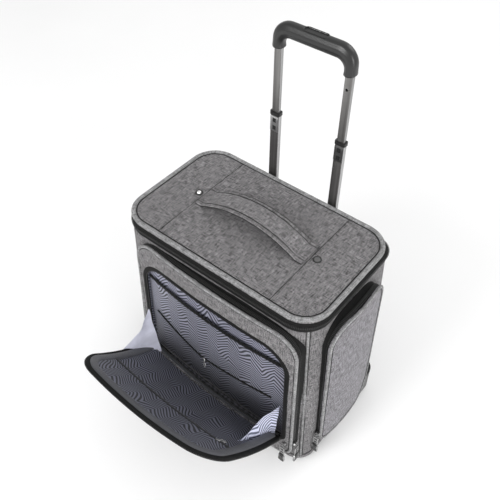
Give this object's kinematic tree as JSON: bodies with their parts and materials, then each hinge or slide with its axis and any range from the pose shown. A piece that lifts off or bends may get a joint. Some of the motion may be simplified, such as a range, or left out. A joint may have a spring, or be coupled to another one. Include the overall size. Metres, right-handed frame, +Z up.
{
  "type": "rolling laptop case",
  "caption": "Soft-sided upright rolling laptop case in grey heather fabric, with a telescoping handle, a carrying strap and a front pocket whose flap hangs open on its lining.",
  "frame": {"origin": "on the floor, at the middle of the object's footprint with the front flap hanging open", "axes": "+Z up along the handle tubes, +X to the case's right side, -Y towards its front pocket"},
  "size_m": [0.4636, 0.465, 0.71],
  "materials": {
    "shell_fabric": "grey heather weave, matt",
    "side_fabric": "light grey heather weave, matt",
    "strap_fabric": "grey heather weave over webbing, stitched borders",
    "piping_fabric": "light grey piping cord, slight sheen",
    "zip_tape": "near-black woven zip tape",
    "lining_fabric": "lavender-grey polyester lining with fine wavy lines",
    "elastic_band": "black elastic binding",
    "slider_metal": "worn silver zip hardware",
    "stud_metal": "polished domed studs",
    "tube_metal": "gunmetal anodised tube",
    "fastener_steel": "zinc-plated steel",
    "grip_plastic": "dark grey semi-gloss moulding",
    "button_plastic": "black matt moulding",
    "guard_plastic": "grey moulded plastic, fine grain",
    "black_plastic": "black moulded plastic",
    "hub_plastic": "dark grey moulded hub",
    "tyre_rubber": "black rubber tyre, scuffed",
    "base_board": "black stiffener board"
  },
  "bodies": {
    "case": {"front_wall": "shell_fabric", "back_wall": "shell_fabric", "left_wall": "shell_fabric", "right_wall": "shell_fabric", "base_board": "base_board", "laptop_divider": "lining_fabric", "lid_hinge_strip": "shell_fabric", "lid_zip_lower": "zip_tape", "front_gusset_rear": "zip_tape", "side_gusset_rear_left": "zip_tape", "side_gusset_rear_right": "zip_tape", "handle_cover": "shell_fabric", "handle_top_mouth": "black_plastic", "handle_foot_bracket": "black_plastic", "outer_tubes": "tube_metal", "wheel_guard_left": "guard_plastic", "wheel_guard_right": "guard_plastic", "guard_trims": "black_plastic", "wheel_axles": "fastener_steel", "front_feet": "black_plastic", "foot_screws": "fastener_steel"},
    "lid": {"lid_board": "shell_fabric", "lid_piping": "piping_fabric", "lid_zip_upper": "zip_tape", "carry_strap": "strap_fabric", "lid_studs": "stud_metal"},
    "lid_slider": {"lid_slider": "slider_metal"},
    "lid_pull": {"lid_pull": "slider_metal"},
    "front_pocket": {"front_panel": "shell_fabric", "front_gusset_front": "zip_tape", "pocket_lining": "lining_fabric", "slip_pocket": "lining_fabric", "flap_gore_left": "lining_fabric", "flap_gore_right": "lining_fabric"},
    "flap": {"flap_panel": "shell_fabric", "flap_zip_tape": "zip_tape", "flap_slip_pocket": "lining_fabric"},
    "front_slider": {"front_slider": "slider_metal"},
    "front_pull": {"front_pull": "slider_metal"},
    "flap_slider": {"flap_slider": "slider_metal"},
    "flap_pull": {"flap_pull": "slider_metal"},
    "side_pocket_right": {"side_panel_right": "side_fabric", "side_gusset_front_right": "zip_tape"},
    "side_pocket_left": {"side_panel_left": "side_fabric", "side_gusset_front_left": "zip_tape"},
    "side_slider_right": {"side_right_slider": "slider_metal"},
    "side_pull_right": {"side_right_pull": "slider_metal"},
    "side_slider_left": {"side_left_slider": "slider_metal"},
    "side_pull_left": {"side_left_pull": "slider_metal"},
    "wheel_right": {"wheel_hub_right": "hub_plastic", "wheel_tyre_right": "tyre_rubber"},
    "wheel_left": {"wheel_hub_left": "hub_plastic", "wheel_tyre_left": "tyre_rubber"},
    "middle_stage": {"middle_tubes": "tube_metal", "tube_collars": "black_plastic"},
    "inner_stage": {"inner_tubes": "tube_metal", "grip": "grip_plastic", "button_spring": "fastener_steel"},
    "button": {"push_button": "button_plastic", "release_rods": "fastener_steel"}
  },
  "joints": [
    {"name": "lid_hinge", "type": "hinge", "parent": "case", "child": "lid", "pos_m": [0, 0.20204, 0.417], "axis": [-1, 0, 0], "range_deg": [0, 75]},
    {"name": "lid_slider_slide", "type": "slide", "parent": "case", "child": "lid_slider", "axis": [0, -1, 0], "range_m": [-0.012, 0.085]},
    {"name": "lid_pull_hinge", "type": "hinge", "parent": "lid_slider", "child": "lid_pull", "pos_m": [-0.2053, 0.11244, 0.404], "axis": [0, 0, 1], "range_deg": [0, 150]},
    {"name": "front_pocket_hinge", "type": "hinge", "parent": "case", "child": "front_pocket", "pos_m": [0, -0.05196, 0.0475], "axis": [1, 0, 0], "range_deg": [0, 50]},
    {"name": "flap_hinge", "type": "hinge", "parent": "front_pocket", "child": "flap", "pos_m": [0, -0.06046, 0.093], "axis": [1, 0, 0], "range_deg": [-45, 0], "deforming": ["flap_gore_left", "flap_gore_right"]},
    {"name": "front_slider_slide", "type": "slide", "parent": "case", "child": "front_slider", "axis": [-0.0296, 0.0118, 0.9995], "range_m": [0, 0.18]},
    {"name": "front_pull_hinge", "type": "hinge", "parent": "front_slider", "child": "front_pull", "pos_m": [0.2023, -0.04396, 0.0801], "axis": [0, -1, 0], "range_deg": [0, 150]},
    {"name": "flap_slider_slide", "type": "slide", "parent": "front_pocket", "child": "flap_slider", "axis": [-0.028, 0.0225, 0.9994], "range_m": [0, 0.17]},
    {"name": "flap_pull_hinge", "type": "hinge", "parent": "flap_slider", "child": "flap_pull", "pos_m": [0.183, -0.06236, 0.0821], "axis": [-1, 0, 0], "range_deg": [0, 150]},
    {"name": "side_pocket_right_hinge", "type": "hinge", "parent": "case", "child": "side_pocket_right", "pos_m": [0.2178, 0.07754, 0.0618], "axis": [0, 1, 0], "range_deg": [0, 50]},
    {"name": "side_pocket_left_hinge", "type": "hinge", "parent": "case", "child": "side_pocket_left", "pos_m": [-0.2178, 0.07754, 0.0618], "axis": [0, -1, 0], "range_deg": [0, 50]},
    {"name": "side_slider_right_slide", "type": "slide", "parent": "case", "child": "side_slider_right", "axis": [-0.0357, -0.0031, 0.9994], "range_m": [0, 0.2]},
    {"name": "side_slider_left_slide", "type": "slide", "parent": "case", "child": "side_slider_left", "axis": [0.0357, -0.0031, 0.9994], "range_m": [0, 0.2]},
    {"name": "side_pull_right_hinge", "type": "hinge", "parent": "side_slider_right", "child": "side_pull_right", "pos_m": [0.219, -0.00656, 0.0801], "axis": [-1, 0, 0], "range_deg": [0, 150]},
    {"name": "side_pull_left_hinge", "type": "hinge", "parent": "side_slider_left", "child": "side_pull_left", "pos_m": [-0.219, -0.00656, 0.0801], "axis": [-1, 0, 0], "range_deg": [0, 150]},
    {"name": "wheel_right_spin", "type": "hinge", "parent": "case", "child": "wheel_right", "pos_m": [0.183, 0.18654, 0.026], "axis": [1, 0, 0], "continuous": true},
    {"name": "wheel_left_spin", "type": "hinge", "parent": "case", "child": "wheel_left", "pos_m": [-0.183, 0.18654, 0.026], "axis": [1, 0, 0], "continuous": true},
    {"name": "middle_stage_slide", "type": "slide", "parent": "case", "child": "middle_stage", "axis": [0, 0, 1], "range_m": [-0.145, 0.15]},
    {"name": "inner_stage_slide", "type": "slide", "parent": "middle_stage", "child": "inner_stage", "axis": [0, 0, 1], "range_m": [-0.115, 0.17]},
    {"name": "button_press", "type": "slide", "parent": "inner_stage", "child": "button", "axis": [0, 0, -1], "range_m": [0, 0.003], "stiffness_N_per_m": 800, "springref_m": -0.004, "deforming": ["button_spring"]}
  ]
}
